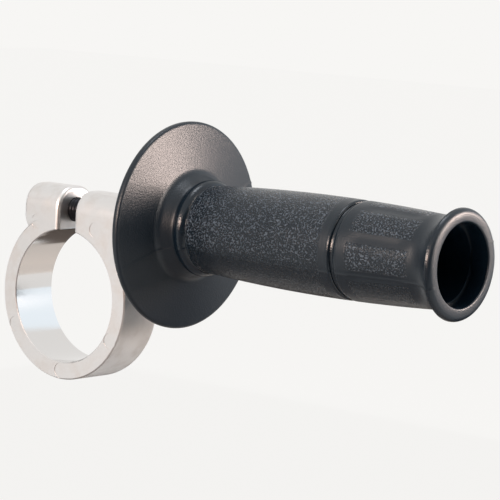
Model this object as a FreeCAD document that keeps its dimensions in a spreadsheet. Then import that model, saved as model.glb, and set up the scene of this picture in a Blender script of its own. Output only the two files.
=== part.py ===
import FreeCAD, Part
import math
import os

import Sketcher

# Side handle for a hand-held power tool. An aluminium clamp ring is split between two ears. A black
# moulded grip with a round hand guard holds a hexagon bolt by its head, and turning the grip screws
# the bolt into the left ear, which draws the ears together and grips the tool's collar.
#
# Frame: the origin is the centre of the collar bore. +Y runs along the bore, away from the viewer,
# +Z points to the ears, and +X runs along the handle from the ring to the grip's open end.
# Lengths are in millimetres.

# Driving dimensions, one cell of the sheet each.
SIZES = [
    # Clamp ring
    ("collar_bore_radius", 21.5, "bore of the 43 mm collar clamp"),
    ("ring_wall", 5.6, "radial thickness of the ring"),
    ("ring_depth", 16.8, "length of the ring along the bore"),
    ("ring_front_bevel", 0.4, "bevel along the ring's outer edge on its front face"),
    ("ring_back_round", 1.8, "radius along the ring's outer edge on its back face"),
    ("bore_edge_bevel", 0.3, "bevel at each mouth of the bore"),
    ("bolt_above_bore", 5.9, "bolt axis above the top of the bore"),
    ("split_gap", 7.2, "gap between the ears"),
    ("split_edge_round", 1.3, "radius where the ears' gap faces meet their outsides"),
    ("left_ear_inset", 8.0, "left ear's closed end, in from the ring's side"),
    ("left_ear_end_round", 1.3, "radius round the left ear's closed end"),
    ("left_ear_rise", 7.55, "left ear's crown above the bolt axis"),
    ("left_ear_drop", 8.9, "left ear's underside below the bolt axis"),
    ("seat_inset", 3.1, "right ear's seat, in from the ring's side"),
    ("right_ear_rise", 6.9, "right ear's crown above the bolt axis"),
    ("right_ear_drop", 15.6, "right ear's root below the bolt axis"),
    ("seat_edge_bevel", 0.4, "bevel round the right ear's seat"),
    ("ear_crown_radius", 7.0, "radius of the ears' upper corners"),
    ("ear_under_radius", 6.4, "radius of the left ear's lower corners"),
    ("crown_draft", 1.0, "fall of the right ear's crown towards its seat"),
    ("tapped_depth", 12.2, "depth of the blind tapped hole in the left ear"),
    ("thread_clearance", 0.05, "radial play of the bolt in the tapped hole"),
    ("right_ear_hole_play", 0.5, "radial play of the bolt in the right ear"),
    ("ejector_mark_radius", 2.5, "round marks on the ring's front face"),
    ("ejector_mark_depth", 0.15, "depth of those marks"),
    ("ejector_mark_pitch", 61.0, "degrees between the three marks under the bore"),
    ("ear_mark_offset", 13.0, "ear marks, sideways from the bore's centre"),
    ("ear_mark_drop", 4.6, "ear marks, below the bolt axis"),
    # Bolt and washer
    ("bolt_radius", 4.0, "M8 shank"),
    ("bolt_tip_room", 1.8, "from the bolt's tip to the floor of the tapped hole"),
    ("bolt_tip_bevel", 0.9, "bevel at the bolt's tip"),
    ("head_across_flats", 13.0, "M8 hexagon head"),
    ("head_height", 5.3, "M8 hexagon head"),
    ("head_bevel", 0.6, "rise of the bevel that rounds the head's corners"),
    ("washer_radius", 8.0, "M8 plain washer"),
    ("washer_hole_radius", 4.2, "M8 plain washer"),
    ("washer_thickness", 1.6, "M8 plain washer"),
    ("washer_bevel", 0.2, "bevel on the washer's rims"),
    # Grip, along its axis from the hub's back face
    ("hub_hole_play", 0.1, "radial play of the bolt in the hub"),
    ("hub_back_radius", 10.5, "hub at its back face"),
    ("hub_root_radius", 12.3, "hub where the guard's back starts"),
    ("guard_radius", 32.55, "hand guard"),
    ("guard_back", 17.0, "back edge of the guard's rim"),
    ("guard_rim_thickness", 2.5, "guard's rim along the axis"),
    ("guard_rim_round", 1.0, "radius on both edges of the guard's rim"),
    ("guard_thickness", 2.8, "guard between its two faces"),
    ("guard_dish", 1.6, "how far the guard's face rises from the rim to the fillet"),
    ("guard_fillet_radius", 5.2, "hollow fillet from the guard's face to the collar bead"),
    ("bead_rise", 1.3, "collar bead at the guard, above the barrel's root"),
    ("bead_length", 2.2, "straight part of the bead"),
    ("bead_round", 1.6, "rounding from the bead down to the barrel"),
    ("grip_root_radius", 13.6, "barrel next to the bead"),
    ("grip_length", 125.5, "hub's back face to the open end"),
    ("barrel_radius", 650.0, "long curve of the barrel's side"),
    ("neck_rise", 0.35, "barrel where the bell end starts, above the barrel's root"),
    ("bell_length", 9.6, "bell end along the axis"),
    ("bell_rise", 2.65, "crown of the bell end, above the neck"),
    ("bell_flare_radius", 10.0, "hollow curve from the neck to the bell"),
    ("bell_lip", 1.9, "axial length of the bell's outer rounding"),
    ("bell_lip_drop", 1.7, "radial height of the bell's outer rounding"),
    ("mouth_wall", 4.05, "wall from the bell's crown in to the mouth of the hollow"),
    ("mouth_depth", 6.3, "depth of the mouth"),
    ("mouth_step", 0.6, "step from the mouth down to the long hollow"),
    ("hollow_floor", 28.4, "floor of the long hollow"),
    ("grip_wall", 4.6, "wall from the barrel's root in to the long hollow's floor"),
    ("socket_depth", 8.0, "hexagonal socket below the hollow's floor"),
    ("groove_place", 88.4, "ring groove round the barrel"),
    ("groove_width", 1.5, "ring groove"),
    ("groove_depth", 1.0, "ring groove"),
    ("channel_count", 8, "channels between the pads"),
    ("channel_start", 92.8, "channels' end nearest the ring groove"),
    ("channel_end", 115.4, "channels' end nearest the bell"),
    ("channel_depth", 0.5, "channels below the pads"),
    ("channel_cutter_radius", 4.0, "radius of the channels' round section"),
    ("channel_turn", 22.5, "degrees from the front to the first channel"),
]

# Places that several pieces share, worked out from the sizes.
BOLT_HEIGHT = "(sizes.collar_bore_radius + sizes.bolt_above_bore)"
RING_RADIUS = "(sizes.collar_bore_radius + sizes.ring_wall)"
SEAT_PLACE = f"({RING_RADIUS} - sizes.seat_inset)"
HUB_PLACE = f"({SEAT_PLACE} + sizes.washer_thickness)"
HEAD_PLACE = f"({HUB_PLACE} + sizes.hollow_floor - sizes.socket_depth)"
TAPPED_FLOOR = "(sizes.split_gap / 2 + sizes.tapped_depth)"
BOLT_LENGTH = f"({HEAD_PLACE} + {TAPPED_FLOOR} - sizes.bolt_tip_room)"
LEFT_CROWN = f"({BOLT_HEIGHT} + sizes.left_ear_rise)"
RIGHT_CROWN = f"({BOLT_HEIGHT} + sizes.right_ear_rise)"
SIDE = "(sizes.ring_depth / 2)"

# Places along the grip, from the hub's back face.
GUARD_FRONT = "(sizes.guard_back + sizes.guard_rim_thickness)"
FACE_ROOT = f"({GUARD_FRONT} + sizes.guard_dish)"
BEAD_START = f"({FACE_ROOT} + sizes.guard_fillet_radius)"
BEAD_END = f"({BEAD_START} + sizes.bead_length)"
BARREL_START = f"({BEAD_END} + sizes.bead_round)"
BARREL_END = "(sizes.grip_length - sizes.bell_length)"

# Radii along the grip, each from the one that it rises from.
BEAD_RADIUS = "(sizes.grip_root_radius + sizes.bead_rise)"
NECK_RADIUS = "(sizes.grip_root_radius + sizes.neck_rise)"
BELL_RADIUS = f"({NECK_RADIUS} + sizes.bell_rise)"
MOUTH_RADIUS = f"({BELL_RADIUS} - sizes.mouth_wall)"
FLOOR_RADIUS = "(sizes.grip_root_radius - sizes.grip_wall)"

document = FreeCAD.newDocument("side_handle")
sheet = document.addObject("Spreadsheet::Sheet", "sizes")


def fill_sheet():
    """Writes every driving dimension into its own named cell."""
    for row, (alias, size, meaning) in enumerate(SIZES, start=1):
        sheet.set(f"A{row}", alias.replace("_", " "))
        sheet.set(f"B{row}", str(size))
        sheet.set(f"C{row}", meaning)
        sheet.setAlias(f"B{row}", alias)
    document.recompute()


def worked_out(text):
    """The value of an expression over the sheet, as a plain number."""
    return float(sheet.evalExpression(text))


def new_body(name, place_x="0", place_z="0"):
    """An empty body whose place in the frame follows the sheet."""
    body = document.addObject("PartDesign::Body", name)
    body.Label = name
    body.setExpression("Placement.Base.x", place_x)
    body.setExpression("Placement.Base.z", place_z)
    return body


def new_sketch(body, name, plane, offset=None):
    """A sketch on one of the body's own planes, moved along its normal by an expression."""
    sketch = body.newObject("Sketcher::SketchObject", name)
    face = next(item for item in body.Origin.OriginFeatures if item.Role == plane)
    sketch.AttachmentSupport = [(face, "")]
    sketch.MapMode = "FlatFace"
    if offset:
        sketch.setExpression("AttachmentOffset.Base.z", offset)
    return sketch


def axis_of(body, role):
    """One of the body's own axes, as a link that a revolved feature takes."""
    return (next(item for item in body.Origin.OriginFeatures if item.Role == role), [""])


def tie(sketch, name, kind, places, text):
    """A dimension on a sketch whose value is an expression over the sheet."""
    index = sketch.addConstraint(Sketcher.Constraint(kind, *places, worked_out(text)))
    sketch.renameConstraint(index, name)
    sketch.setExpression(f"Constraints.{name}", text)


def arc_between(start, end, radius, bulge):
    """A round edge between two points, anticlockwise as sketches keep it. A positive bulge lies to the
    left of the way from start to end."""
    middle = (start + end) * 0.5
    chord = end - start
    half = chord.Length / 2
    sideways = FreeCAD.Vector(-chord.y, chord.x, 0).normalize()
    sagitta = radius - math.sqrt(max(radius**2 - half**2, 0))
    crown = middle + sideways * sagitta * bulge
    return Part.Arc(end, crown, start) if bulge > 0 else Part.Arc(start, crown, end)


def draw_outline(sketch, corners):
    """Draws a closed outline. Each corner is (name, x, y) and may add (radius, bulge), which makes the
    edge that leaves it round. x, y and radius are expressions over the sheet."""
    points = [FreeCAD.Vector(worked_out(corner[1]), worked_out(corner[2]), 0) for corner in corners]
    for index, corner in enumerate(corners):
        start = points[index]
        end = points[(index + 1) % len(points)]
        if len(corner) == 3:
            sketch.addGeometry(Part.LineSegment(start, end))
        else:
            sketch.addGeometry(arc_between(start, end, worked_out(corner[3]), corner[4]))
    starts = [first_end_at(sketch.Geometry[index], point) for index, point in enumerate(points)]
    for index, corner in enumerate(corners):
        after = (index + 1) % len(corners)
        finish = 3 - starts[index]
        sketch.addConstraint(Sketcher.Constraint("Coincident", index, finish, after, starts[after]))
        tie(sketch, f"{corner[0]}_x", "DistanceX", (-1, 1, index, starts[index]), corner[1])
        tie(sketch, f"{corner[0]}_y", "DistanceY", (-1, 1, index, starts[index]), corner[2])
        if len(corner) > 3:
            tie(sketch, f"{corner[0]}_r", "Radius", (index,), corner[3])


def first_end_at(edge, point):
    """1 if the edge starts at the point and 2 if it ends there, as sketch constraints count."""
    return 1 if edge.StartPoint.distanceToPoint(point) < edge.EndPoint.distanceToPoint(point) else 2


def draw_circle(sketch, name, x, y, radius):
    """Draws a circle whose centre and radius are expressions over the sheet."""
    centre = FreeCAD.Vector(worked_out(x), worked_out(y), 0)
    index = sketch.addGeometry(Part.Circle(centre, FreeCAD.Vector(0, 0, 1), worked_out(radius)))
    tie(sketch, f"{name}_x", "DistanceX", (-1, 1, index, 3), x)
    tie(sketch, f"{name}_y", "DistanceY", (-1, 1, index, 3), y)
    tie(sketch, f"{name}_r", "Radius", (index,), radius)


def draw_hexagon(sketch, name, across_flats):
    """Draws a hexagon round the sketch's origin with two corners on its upright axis."""
    corners = []
    for corner in range(6):
        turn = f"{30 + 60 * corner} deg"
        reach = f"{across_flats} / 2 / cos(30 deg)"
        corners.append((f"{name}_{corner}", f"{reach} * cos({turn})", f"{reach} * sin({turn})"))
    draw_outline(sketch, corners)


def extrude(body, name, kind, sketch, length=None, both_ways=False, flip=False):
    """A pad or pocket of a sketch. Without a length it runs right through."""
    feature = body.newObject(f"PartDesign::{kind}", name)
    feature.Profile = sketch
    feature.SideType = "Symmetric" if both_ways else "One side"
    feature.Reversed = flip
    if length:
        feature.setExpression("Length", length)
    else:
        feature.Type = "ThroughAll"
    document.recompute()
    return feature


def revolve(body, name, kind, sketch, axis):
    """A revolution or groove of a sketch, once round one of the body's own axes."""
    feature = body.newObject(f"PartDesign::{kind}", name)
    feature.Profile = sketch
    feature.ReferenceAxis = axis_of(body, axis)
    feature.Angle = 360
    document.recompute()
    return feature


def edges_where(feature, wanted):
    """The names of the feature's edges for which wanted(edge) holds."""
    return [f"Edge{number}" for number, edge in enumerate(feature.Shape.Edges, start=1) if wanted(edge)]


def ease_edges(body, name, kind, base, size, wanted):
    """A fillet or chamfer along the edges for which wanted(edge) holds."""
    feature = body.newObject(f"PartDesign::{kind}", name)
    feature.Base = (base, edges_where(base, wanted))
    feature.setExpression("Radius" if kind == "Fillet" else "Size", size)
    document.recompute()
    return feature


def lies_at(edge, axis, place, slack=1e-4):
    """Whether the whole edge lies in the plane across the axis (0, 1 or 2) at the place."""
    box = edge.BoundBox
    low = (box.XMin, box.YMin, box.ZMin)[axis]
    high = (box.XMax, box.YMax, box.ZMax)[axis]
    return abs(low - place) < slack and abs(high - place) < slack


def is_ring(edge, radius, slack=1e-4):
    """Whether the edge is an arc or circle of the radius."""
    return isinstance(edge.Curve, Part.Circle) and abs(edge.Curve.Radius - radius) < slack


def build_clamp_ring():
    """The split ring with its two ears, one aluminium casting."""
    body = new_body("clamp_ring")

    right = new_sketch(body, "right_ear_section", "YZ_Plane")
    draw_ear(right, RIGHT_CROWN, "sizes.right_ear_drop", rounded_below=False)
    right_ear = extrude(body, "right_ear", "Pad", right, SEAT_PLACE)
    seat = worked_out(SEAT_PLACE)
    ease_edges(
        body,
        "seat_edge",
        "Chamfer",
        right_ear,
        "sizes.seat_edge_bevel",
        lambda edge: lies_at(edge, 0, seat),
    )

    left = new_sketch(body, "left_ear_section", "YZ_Plane")
    draw_ear(left, LEFT_CROWN, "sizes.left_ear_drop", rounded_below=True)
    end_place = f"({RING_RADIUS} - sizes.left_ear_inset)"
    left_ear = extrude(body, "left_ear", "Pad", left, end_place, flip=True)
    end = -worked_out(end_place)
    ease_edges(
        body,
        "left_ear_end",
        "Fillet",
        left_ear,
        "sizes.left_ear_end_round",
        lambda edge: lies_at(edge, 0, end),
    )

    section = new_sketch(body, "ring_section", "XY_Plane")
    bevel = "sizes.ring_front_bevel"
    back_round = "sizes.ring_back_round"
    draw_outline(
        section,
        [
            ("inside_front", "0", f"-{SIDE}"),
            ("front_edge", f"{RING_RADIUS} - {bevel}", f"-{SIDE}"),
            ("front_side", RING_RADIUS, f"{bevel} - {SIDE}"),
            ("back_side", RING_RADIUS, f"{SIDE} - {back_round}", back_round, -1),
            ("back_edge", f"{RING_RADIUS} - {back_round}", SIDE),
            ("inside_back", "0", SIDE),
        ],
    )
    revolve(body, "ring_disc", "Revolution", section, "Y_Axis")

    bore_sketch = new_sketch(body, "bore_outline", "XZ_Plane")
    draw_circle(bore_sketch, "bore", "0", "0", "sizes.collar_bore_radius")
    bore = extrude(body, "collar_bore", "Pocket", bore_sketch, both_ways=True)
    bore_radius = worked_out("sizes.collar_bore_radius")
    ease_edges(
        body,
        "bore_mouths",
        "Chamfer",
        bore,
        "sizes.bore_edge_bevel",
        lambda edge: is_ring(edge, bore_radius) and abs(edge.Curve.Axis.y) > 0.5,
    )

    split_sketch = new_sketch(body, "split_outline", "XZ_Plane")
    above = f"({LEFT_CROWN} + sizes.ring_wall)"
    draw_outline(
        split_sketch,
        [
            ("low_left", "-sizes.split_gap / 2", "0"),
            ("low_right", "sizes.split_gap / 2", "0"),
            ("top_right", "sizes.split_gap / 2", above),
            ("top_left", "-sizes.split_gap / 2", above),
        ],
    )
    split = extrude(body, "split", "Pocket", split_sketch, both_ways=True)
    half_gap = worked_out("sizes.split_gap / 2")
    inside = bore_radius + worked_out("sizes.ring_wall") / 2

    def is_gap_rim(edge):
        """Whether the edge runs round the outside of a gap face."""
        in_gap_face = lies_at(edge, 0, half_gap) or lies_at(edge, 0, -half_gap)
        return in_gap_face and edge.BoundBox.ZMax > inside

    ease_edges(body, "gap_rims", "Fillet", split, "sizes.split_edge_round", is_gap_rim)

    draft = new_sketch(body, "crown_draft_outline", "XZ_Plane")
    draft_start = "sizes.split_gap / 2 + 1.5 * sizes.split_edge_round"
    past_seat = f"{SEAT_PLACE} + sizes.seat_edge_bevel"
    draw_outline(
        draft,
        [
            ("start", draft_start, RIGHT_CROWN),
            ("end", past_seat, f"{RIGHT_CROWN} - sizes.crown_draft"),
            ("above_end", past_seat, f"{RIGHT_CROWN} + sizes.crown_draft"),
            ("above_start", draft_start, f"{RIGHT_CROWN} + sizes.crown_draft"),
        ],
    )
    extrude(body, "crown_draft", "Pocket", draft, both_ways=True)

    tapped = new_sketch(body, "tapped_outline", "YZ_Plane")
    draw_circle(tapped, "thread", "0", BOLT_HEIGHT, "sizes.bolt_radius + sizes.thread_clearance")
    extrude(body, "tapped_hole", "Pocket", tapped, TAPPED_FLOOR)

    clearance = new_sketch(body, "clearance_outline", "YZ_Plane")
    draw_circle(clearance, "hole", "0", BOLT_HEIGHT, "sizes.bolt_radius + sizes.right_ear_hole_play")
    extrude(body, "clearance_hole", "Pocket", clearance, flip=True)

    marks = new_sketch(body, "ejector_marks_outline", "XZ_Plane", SIDE)
    middle = "(sizes.collar_bore_radius + sizes.ring_wall / 2)"
    for index, step in enumerate((-1, 0, 1)):
        turn = f"({step} * sizes.ejector_mark_pitch * 1 deg)"
        draw_circle(
            marks,
            f"ring_mark_{index}",
            f"{middle} * sin({turn})",
            f"-{middle} * cos({turn})",
            "sizes.ejector_mark_radius",
        )
    for side, sign in (("left", "-"), ("right", "")):
        draw_circle(
            marks,
            f"{side}_ear_mark",
            f"{sign}sizes.ear_mark_offset",
            f"{BOLT_HEIGHT} - sizes.ear_mark_drop",
            "sizes.ejector_mark_radius",
        )
    extrude(body, "ejector_marks", "Pocket", marks, "sizes.ejector_mark_depth")
    return body


def draw_ear(sketch, crown, drop, rounded_below):
    """Draws an ear's section across the bolt, as wide as the ring is deep, with rounded corners."""
    above = "sizes.ear_crown_radius"
    below = "sizes.ear_under_radius"
    root = f"({BOLT_HEIGHT} - {drop})"
    corners = [
        ("shoulder_right", SIDE, f"{crown} - {above}", above, -1),
        ("crown_right", f"{SIDE} - {above}", crown),
        ("crown_left", f"{above} - {SIDE}", crown, above, -1),
        ("shoulder_left", f"-{SIDE}", f"{crown} - {above}"),
    ]
    if rounded_below:
        corners += [
            ("hip_left", f"-{SIDE}", f"{root} + {below}", below, -1),
            ("root_left", f"{below} - {SIDE}", root),
            ("root_right", f"{SIDE} - {below}", root, below, -1),
            ("hip_right", SIDE, f"{root} + {below}"),
        ]
    else:
        corners += [("root_left", f"-{SIDE}", root), ("root_right", SIDE, root)]
    draw_outline(sketch, corners)


def build_grip_body():
    """The moulded grip: hub, hand guard, barrel, bell end and hollow."""
    body = new_body("grip_body", HUB_PLACE, BOLT_HEIGHT)
    hole = "sizes.bolt_radius + sizes.hub_hole_play"
    rim_round = "sizes.guard_rim_round"
    guard_edge = f"sizes.guard_radius - {rim_round}"
    step_place = "(sizes.grip_length - sizes.mouth_depth)"
    bead_root = f"{BEAD_RADIUS} + sizes.guard_fillet_radius"
    bell_crown = "sizes.grip_length - sizes.bell_lip"

    outline = new_sketch(body, "grip_outline", "XY_Plane")
    draw_outline(
        outline,
        [
            ("hub_hole", "0", hole),
            ("hub_back", "0", "sizes.hub_back_radius"),
            ("hub_root", f"{FACE_ROOT} - sizes.guard_thickness", "sizes.hub_root_radius"),
            ("guard_rear", "sizes.guard_back", guard_edge, rim_round, 1),
            ("rim_rear", f"sizes.guard_back + {rim_round}", "sizes.guard_radius"),
            ("rim_front", f"{GUARD_FRONT} - {rim_round}", "sizes.guard_radius", rim_round, 1),
            ("guard_front", GUARD_FRONT, guard_edge),
            ("face_root", FACE_ROOT, bead_root, "sizes.guard_fillet_radius", -1),
            ("bead_start", BEAD_START, BEAD_RADIUS),
            ("bead_end", BEAD_END, BEAD_RADIUS, "sizes.bead_round", 1),
            ("barrel_start", BARREL_START, "sizes.grip_root_radius", "sizes.barrel_radius", 1),
            ("neck", BARREL_END, NECK_RADIUS, "sizes.bell_flare_radius", -1),
            ("bell_crown", bell_crown, BELL_RADIUS, "sizes.bell_lip", 1),
            ("lip", "sizes.grip_length", f"{BELL_RADIUS} - sizes.bell_lip_drop"),
            ("mouth", "sizes.grip_length", MOUTH_RADIUS),
            ("mouth_floor", step_place, MOUTH_RADIUS),
            ("step", step_place, f"{MOUTH_RADIUS} - sizes.mouth_step"),
            ("hollow_floor", "sizes.hollow_floor", FLOOR_RADIUS),
            ("floor_hole", "sizes.hollow_floor", hole),
        ],
    )
    revolve(body, "moulding", "Revolution", outline, "X_Axis")

    socket = new_sketch(body, "socket_outline", "YZ_Plane", "sizes.hollow_floor")
    draw_hexagon(socket, "socket", "sizes.head_across_flats")
    extrude(body, "bolt_socket", "Pocket", socket, "sizes.socket_depth")

    ring_groove = new_sketch(body, "ring_groove_outline", "XY_Plane")
    groove_top = f"({NECK_RADIUS} + {BELL_RADIUS}) / 2"
    groove_floor = f"({barrel_radius_at('sizes.groove_place')} - sizes.groove_depth)"
    draw_outline(
        ring_groove,
        [
            ("floor_left", "sizes.groove_place - sizes.groove_width / 4", groove_floor),
            ("floor_right", "sizes.groove_place + sizes.groove_width / 4", groove_floor),
            ("top_right", "sizes.groove_place + sizes.groove_width / 2", groove_top),
            ("top_left", "sizes.groove_place - sizes.groove_width / 2", groove_top),
        ],
    )
    revolve(body, "ring_groove", "Groove", ring_groove, "X_Axis")
    cut_channels(body)
    return body


def cut_channels(body):
    """Cuts the shallow channels that part the pads near the open end, evenly round the barrel."""
    ends = []
    for name in ("channel_start", "channel_end"):
        end = new_sketch(body, f"{name}_section", "YZ_Plane", f"sizes.{name}")
        floor = f"{barrel_radius_at('sizes.' + name)} - sizes.channel_depth"
        reach = f"({floor} + sizes.channel_cutter_radius)"
        turn = "(sizes.channel_turn * 1 deg)"
        across = f"-{reach} * cos({turn})"
        draw_circle(end, name, across, f"{reach} * sin({turn})", "sizes.channel_cutter_radius")
        ends.append(end)
    channel = body.newObject("PartDesign::SubtractiveLoft", "channel")
    channel.Profile = ends[0]
    channel.Sections = [ends[1]]
    document.recompute()
    channels = body.newObject("PartDesign::PolarPattern", "channels")
    channels.Originals = [channel]
    channels.Axis = axis_of(body, "X_Axis")
    channels.setExpression("Occurrences", "sizes.channel_count")
    body.Tip = channels
    document.recompute()


def barrel_radius_at(place):
    """An expression for the barrel's radius at a place along the grip: a circle through its two ends."""
    slope = f"(sizes.neck_rise / ({BARREL_END} - {BARREL_START}))"
    chord = f"(sizes.grip_root_radius + {slope} * ({place} - {BARREL_START}))"
    rise = f"(({place} - {BARREL_START}) * ({BARREL_END} - {place}) / (2 * sizes.barrel_radius))"
    return f"({chord} + {rise})"


def build_clamp_bolt():
    """The hexagon bolt, with its head in the grip's socket and its tip in the left ear."""
    body = new_body("clamp_bolt", HEAD_PLACE, BOLT_HEIGHT)
    shank_section = new_sketch(body, "shank_section", "YZ_Plane")
    draw_circle(shank_section, "shank", "0", "0", "sizes.bolt_radius")
    shank = extrude(body, "shank", "Pad", shank_section, BOLT_LENGTH, flip=True)
    tip = -worked_out(BOLT_LENGTH)
    ease_edges(
        body,
        "tip_bevel",
        "Chamfer",
        shank,
        "sizes.bolt_tip_bevel",
        lambda edge: lies_at(edge, 0, tip),
    )

    head_section = new_sketch(body, "head_section", "YZ_Plane")
    draw_hexagon(head_section, "head", "sizes.head_across_flats")
    extrude(body, "head", "Pad", head_section, "sizes.head_height")

    corner_reach = "sizes.head_across_flats / 2 / cos(30 deg)"
    past_corner = f"{corner_reach} + sizes.head_bevel"
    bevel = new_sketch(body, "head_bevel_outline", "XY_Plane")
    draw_outline(
        bevel,
        [
            ("face", "sizes.head_height", f"{corner_reach} - 2 * sizes.head_bevel"),
            ("past_corner", "sizes.head_height", past_corner),
            ("below_corner", "sizes.head_height - 1.5 * sizes.head_bevel", past_corner),
        ],
    )
    revolve(body, "head_bevel", "Groove", bevel, "X_Axis")
    return body


def build_thrust_washer():
    """The plain washer between the hub's back face and the right ear's seat."""
    body = new_body("thrust_washer", SEAT_PLACE, BOLT_HEIGHT)
    section = new_sketch(body, "washer_section", "YZ_Plane")
    draw_circle(section, "rim", "0", "0", "sizes.washer_radius")
    draw_circle(section, "hole", "0", "0", "sizes.washer_hole_radius")
    disc = extrude(body, "washer_disc", "Pad", section, "sizes.washer_thickness")
    rim = worked_out("sizes.washer_radius")
    ease_edges(
        body,
        "washer_rims",
        "Chamfer",
        disc,
        "sizes.washer_bevel",
        lambda edge: is_ring(edge, rim),
    )
    return body


def check(pieces):
    """Stops if any feature failed or any piece isn't one valid solid."""
    for item in document.Objects:
        if {"Invalid", "Error"} & set(item.State):
            raise RuntimeError(f"{item.Label} failed: {item.State}")
    for piece in pieces:
        if piece.Shape.isNull() or not piece.Shape.isValid() or len(piece.Shape.Solids) != 1:
            raise RuntimeError(f"{piece.Label} isn't one valid solid")


def main():
    """Builds every piece and writes one STEP file each."""
    fill_sheet()
    pieces = [build_clamp_ring(), build_grip_body(), build_clamp_bolt(), build_thrust_washer()]
    document.recompute()
    check(pieces)
    os.makedirs("parts", exist_ok=True)
    for piece in pieces:
        piece.Shape.exportStep(f"parts/{piece.Label}.step")
        print(piece.Label, round(piece.Shape.Volume, 1), "mm3")


main()
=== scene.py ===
"""Looks of the side handle: the cast clamp ring, the moulded grip, the threaded bolt and the studio."""

import logging
import math
from dataclasses import dataclass
from enum import Enum
from typing import Callable

import bpy
from mathutils import Matrix, Vector


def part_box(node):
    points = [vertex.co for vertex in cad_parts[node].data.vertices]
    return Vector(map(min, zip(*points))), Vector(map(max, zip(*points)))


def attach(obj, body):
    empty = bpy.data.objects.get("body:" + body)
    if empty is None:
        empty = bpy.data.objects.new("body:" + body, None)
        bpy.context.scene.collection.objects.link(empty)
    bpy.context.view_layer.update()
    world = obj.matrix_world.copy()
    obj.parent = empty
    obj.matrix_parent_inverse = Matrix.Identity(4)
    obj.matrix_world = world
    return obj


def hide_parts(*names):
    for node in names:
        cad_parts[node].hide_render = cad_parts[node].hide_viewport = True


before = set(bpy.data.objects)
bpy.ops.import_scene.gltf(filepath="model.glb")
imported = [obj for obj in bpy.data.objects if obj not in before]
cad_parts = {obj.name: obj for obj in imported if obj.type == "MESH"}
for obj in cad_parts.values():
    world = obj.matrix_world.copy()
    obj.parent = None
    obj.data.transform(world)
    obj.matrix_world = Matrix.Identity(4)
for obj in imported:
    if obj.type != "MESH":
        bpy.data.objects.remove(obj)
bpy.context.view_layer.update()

MM = 0.001
LOG = logging.getLogger("side_handle")

# A distance in millimetres that is too short to see.
HAIR = 0.01
# A surface that turns by more than this is shaded as an edge.
SHARP_EDGE = math.radians(35)

Point = tuple[float, float]
Span = tuple[float, float]
Place = tuple[float, float, float]
Tree = bpy.types.NodeTree
Node = bpy.types.Node
Socket = bpy.types.NodeSocket
Material = bpy.types.Material


class Body(Enum):
    """The moving body that the grip and the bolt ride on."""

    GRIP = "grip"


class Bulge(Enum):
    """The side to which a round stretch of an outline bulges, seen along its way."""

    LEFT = 1
    RIGHT = -1


def linear(hex_colour: str) -> tuple[float, float, float, float]:
    """Turns an sRGB hex colour into linear RGBA.

    Args:
        hex_colour: Six hex digits after a hash sign.

    Returns:
        Red, green, blue and an alpha of one, in linear light.
    """
    channels = [int(hex_colour[place : place + 2], 16) / 255 for place in (1, 3, 5)]
    light = [value / 12.92 if value <= 0.04045 else ((value + 0.055) / 1.055) ** 2.4 for value in channels]
    return (*light, 1.0)


def add_node(tree: Tree, kind: str, settings: dict | None = None, inputs: dict | None = None) -> Node:
    """Adds a node with its settings and its inputs.

    Args:
        tree: The tree that the node goes into.
        kind: The node's type name.
        settings: Property values by name.
        inputs: Socket values or links by socket name or number. A socket given here is linked.

    Returns:
        The new node.
    """
    node = tree.nodes.new(kind)
    for name, value in (settings or {}).items():
        setattr(node, name, value)
    for name, value in (inputs or {}).items():
        if isinstance(value, Socket):
            tree.links.new(value, node.inputs[name])
        else:
            node.inputs[name].default_value = value
    return node


def new_material(name: str) -> tuple[Material, Tree, Node]:
    """Makes an empty material with an output node.

    Args:
        name: The finish's plain name.

    Returns:
        The material, its tree and its output node.
    """
    material = bpy.data.materials.new(name)
    material.use_nodes = True
    material.node_tree.nodes.clear()
    output = add_node(material.node_tree, "ShaderNodeOutputMaterial")
    return material, material.node_tree, output


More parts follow.
